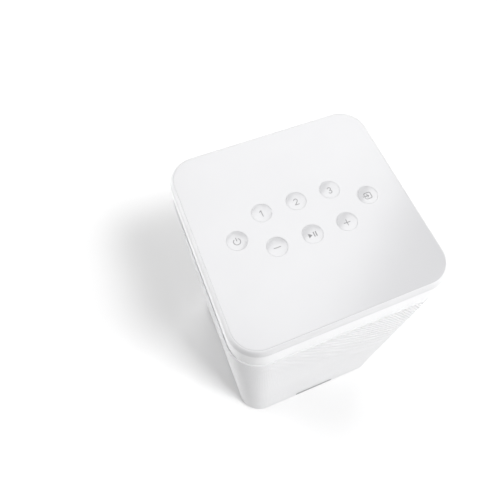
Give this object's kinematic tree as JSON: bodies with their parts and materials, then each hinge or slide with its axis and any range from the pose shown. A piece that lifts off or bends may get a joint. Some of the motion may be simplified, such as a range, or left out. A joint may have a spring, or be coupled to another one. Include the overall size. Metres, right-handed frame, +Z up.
{
  "type": "smart speaker",
  "caption": "Compact square column smart speaker with rounded corners, a perforated sleeve, a plain cap with dished keys, two drivers in a sealed inner cabinet and rear sockets.",
  "frame": {"origin": "centre of the footprint on the ground, under the feet", "axes": "+Z up, front (badge side) towards -Y, +X to the right seen from the front"},
  "size_m": [0.13, 0.1308, 0.216],
  "materials": {
    "panel_gloss": "gloss",
    "housing_white": "satin",
    "key_white": "gloss",
    "circuit_board": "satin",
    "black_plastic": "matte",
    "flex_film": "satin",
    "sleeve_paint": "satin",
    "liner_cloth": "matte",
    "badge_metal": "brushed",
    "rubber": "matte",
    "panel_grey": "matte",
    "key_grey": "satin",
    "cabinet_plastic": "matte",
    "wadding": "matte",
    "black_steel": "satin",
    "cone_paper": "matte",
    "copper": "satin",
    "spider_cloth": "matte",
    "plated_steel": "satin",
    "ferrite": "matte",
    "dome_metal": "satin",
    "heat_sink_alloy": "satin",
    "shield_metal": "satin",
    "power_laminate": "satin",
    "transformer_tape": "satin",
    "capacitor_sleeve": "gloss",
    "lead_red": "satin",
    "zinc_steel": "satin"
  },
  "bodies": {
    "chassis": {"top_panel": "panel_gloss", "top_cap": "housing_white", "button_board": "circuit_board", "tact_switches": "black_plastic", "button_ribbon": "flex_film", "grille_sleeve": "sleeve_paint", "grille_liner": "liner_cloth", "badge_plate": "badge_metal", "base_tray": "housing_white", "rubber_feet": "rubber", "rear_panel": "panel_grey", "setup_switch": "circuit_board", "front_baffle": "black_plastic", "cabinet_gasket": "rubber", "cabinet_shell": "cabinet_plastic", "bass_port": "black_plastic", "damping_wadding": "wadding", "woofer_basket": "black_steel", "woofer_surround": "rubber", "woofer_spider": "spider_cloth", "woofer_top_plate": "plated_steel", "woofer_magnet": "ferrite", "woofer_yoke": "plated_steel", "tweeter_faceplate": "black_plastic", "tweeter_surround": "rubber", "tweeter_motor": "black_steel", "main_board": "circuit_board", "heat_sink": "heat_sink_alloy", "radio_module": "shield_metal", "aux_socket": "black_plastic", "network_socket": "shield_metal", "usb_socket": "shield_metal", "power_board": "power_laminate", "power_transformer": "transformer_tape", "power_capacitors": "capacitor_sleeve", "mains_inlet": "black_plastic", "inlet_pins": "plated_steel", "woofer_lead": "lead_red", "tweeter_lead": "lead_red", "cap_screws": "zinc_steel", "button_board_screws": "zinc_steel", "baffle_screws": "zinc_steel", "driver_screws": "zinc_steel", "base_screws": "zinc_steel"},
    "power_button": {"power_button": "key_white"},
    "source_button": {"source_button": "key_white"},
    "preset_one_button": {"preset_one_button": "key_white"},
    "preset_two_button": {"preset_two_button": "key_white"},
    "preset_three_button": {"preset_three_button": "key_white"},
    "minus_button": {"minus_button": "key_white"},
    "play_button": {"play_button": "key_white"},
    "plus_button": {"plus_button": "key_white"},
    "setup_button": {"setup_button": "key_grey"},
    "woofer_motion": {"woofer_cone": "cone_paper", "woofer_dust_cap": "cone_paper", "woofer_coil": "copper"},
    "tweeter_motion": {"tweeter_dome": "dome_metal", "tweeter_coil": "copper"}
  },
  "joints": [
    {"name": "power_press", "type": "slide", "parent": "chassis", "child": "power_button", "axis": [0, 0, -1], "range_m": [0, 0.0005], "stiffness_N_per_m": 2500, "springref_m": -0.0002},
    {"name": "source_press", "type": "slide", "parent": "chassis", "child": "source_button", "axis": [0, 0, -1], "range_m": [0, 0.0005], "stiffness_N_per_m": 2500, "springref_m": -0.0002},
    {"name": "preset_one_press", "type": "slide", "parent": "chassis", "child": "preset_one_button", "axis": [0, 0, -1], "range_m": [0, 0.0005], "stiffness_N_per_m": 2500, "springref_m": -0.0002},
    {"name": "preset_two_press", "type": "slide", "parent": "chassis", "child": "preset_two_button", "axis": [0, 0, -1], "range_m": [0, 0.0005], "stiffness_N_per_m": 2500, "springref_m": -0.0002},
    {"name": "preset_three_press", "type": "slide", "parent": "chassis", "child": "preset_three_button", "axis": [0, 0, -1], "range_m": [0, 0.0005], "stiffness_N_per_m": 2500, "springref_m": -0.0002},
    {"name": "minus_press", "type": "slide", "parent": "chassis", "child": "minus_button", "axis": [0, 0, -1], "range_m": [0, 0.0005], "stiffness_N_per_m": 2500, "springref_m": -0.0002},
    {"name": "play_press", "type": "slide", "parent": "chassis", "child": "play_button", "axis": [0, 0, -1], "range_m": [0, 0.0005], "stiffness_N_per_m": 2500, "springref_m": -0.0002},
    {"name": "plus_press", "type": "slide", "parent": "chassis", "child": "plus_button", "axis": [0, 0, -1], "range_m": [0, 0.0005], "stiffness_N_per_m": 2500, "springref_m": -0.0002},
    {"name": "setup_press", "type": "slide", "parent": "chassis", "child": "setup_button", "axis": [0, -1, 0], "range_m": [0, 0.0005], "stiffness_N_per_m": 2500, "springref_m": -0.0002},
    {"name": "woofer_travel", "type": "slide", "parent": "chassis", "child": "woofer_motion", "axis": [0, -1, 0], "range_m": [-0.002, 0.002], "stiffness_N_per_m": 1800, "deforming": ["woofer_surround", "woofer_spider"]},
    {"name": "tweeter_travel", "type": "slide", "parent": "chassis", "child": "tweeter_motion", "axis": [0, -1, 0], "range_m": [-0.00025, 0.00025], "stiffness_N_per_m": 3000, "deforming": ["tweeter_surround"]}
  ]
}
